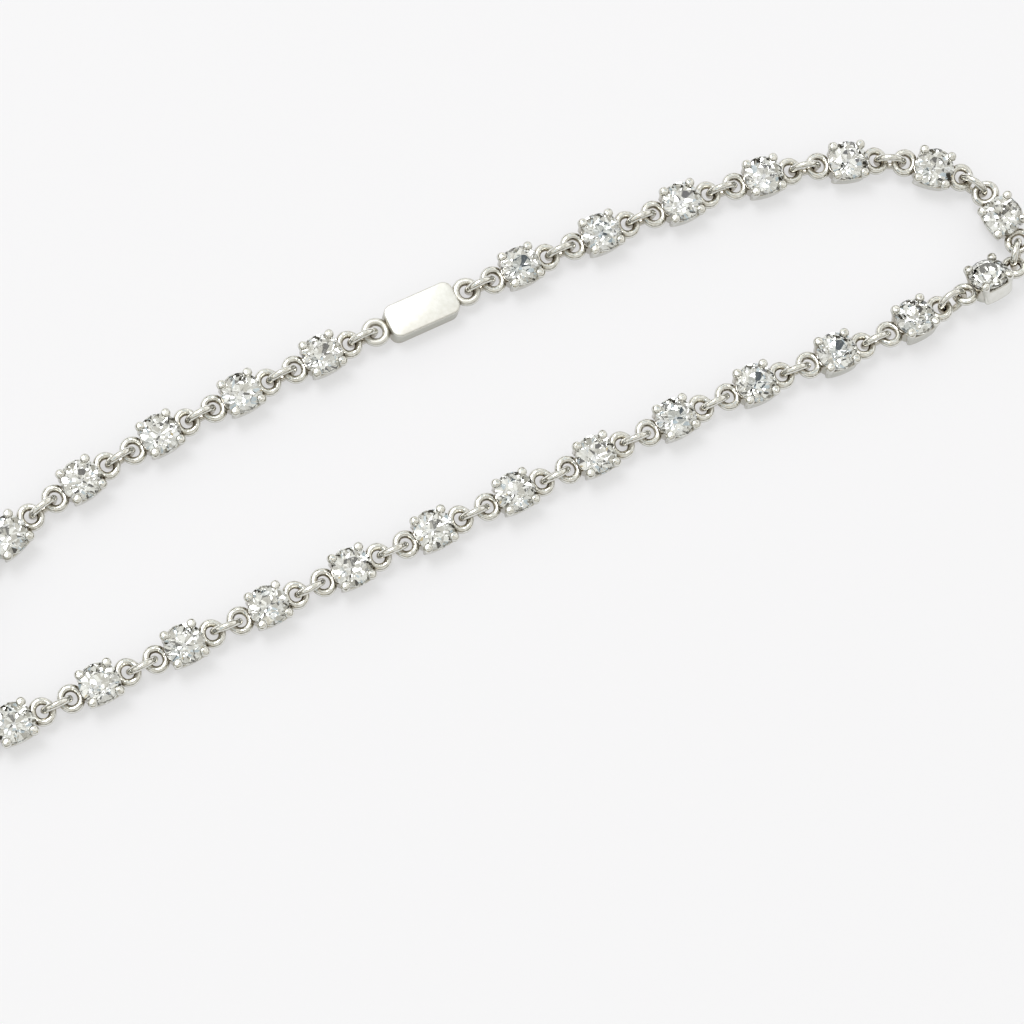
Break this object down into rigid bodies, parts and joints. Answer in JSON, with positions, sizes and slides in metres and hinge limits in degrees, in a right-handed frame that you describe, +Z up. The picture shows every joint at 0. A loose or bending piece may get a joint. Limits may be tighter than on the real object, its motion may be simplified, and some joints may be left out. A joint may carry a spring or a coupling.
{
  "type": "diamond line bracelet",
  "caption": "Closed line bracelet of round old-cut stones in four-claw white metal settings, linked by upright jump rings, lying flat with a plain clasp.",
  "frame": {"origin": "middle of the bracelet's footprint, on the surface that it lies on", "axes": "+X along the straight front run, left to right; +Y from the front run towards the clasp; +Z up, out of the stones' tables"},
  "size_m": [0.0894, 0.0192, 0.0033],
  "materials": {
    "white_gold": "polished white gold, hand finished",
    "diamond": "clear, faceted old cut"
  },
  "bodies": {
    "root": {"setting_01": "white_gold", "setting_02": "white_gold", "setting_03": "white_gold", "setting_04": "white_gold", "setting_05": "white_gold", "setting_06": "white_gold", "setting_07": "white_gold", "setting_08": "white_gold", "setting_09": "white_gold", "setting_10": "white_gold", "setting_11": "white_gold", "setting_12": "white_gold", "setting_13": "white_gold", "jump_ring_01": "white_gold", "jump_ring_02": "white_gold", "jump_ring_03": "white_gold", "jump_ring_04": "white_gold", "jump_ring_05": "white_gold", "jump_ring_06": "white_gold", "jump_ring_07": "white_gold", "jump_ring_08": "white_gold", "jump_ring_09": "white_gold", "jump_ring_10": "white_gold", "jump_ring_11": "white_gold", "jump_ring_12": "white_gold", "jump_ring_13": "white_gold", "jump_ring_14": "white_gold", "back_run_1": "white_gold", "back_run_2": "white_gold", "back_run_3": "white_gold", "back_run_4": "white_gold", "clasp": "white_gold", "stone_01": "diamond", "stone_02": "diamond", "stone_03": "diamond", "stone_04": "diamond", "stone_05": "diamond", "stone_06": "diamond", "stone_07": "diamond", "stone_08": "diamond", "stone_09": "diamond", "stone_10": "diamond", "stone_11": "diamond", "stone_12": "diamond", "stone_13": "diamond", "stone_14": "diamond", "stone_15": "diamond", "stone_16": "diamond", "stone_17": "diamond", "stone_18": "diamond", "stone_19": "diamond", "stone_20": "diamond", "stone_21": "diamond", "stone_22": "diamond", "stone_23": "diamond", "stone_24": "diamond", "stone_25": "diamond", "stone_26": "diamond", "stone_27": "diamond"}
  },
  "joints": []
}
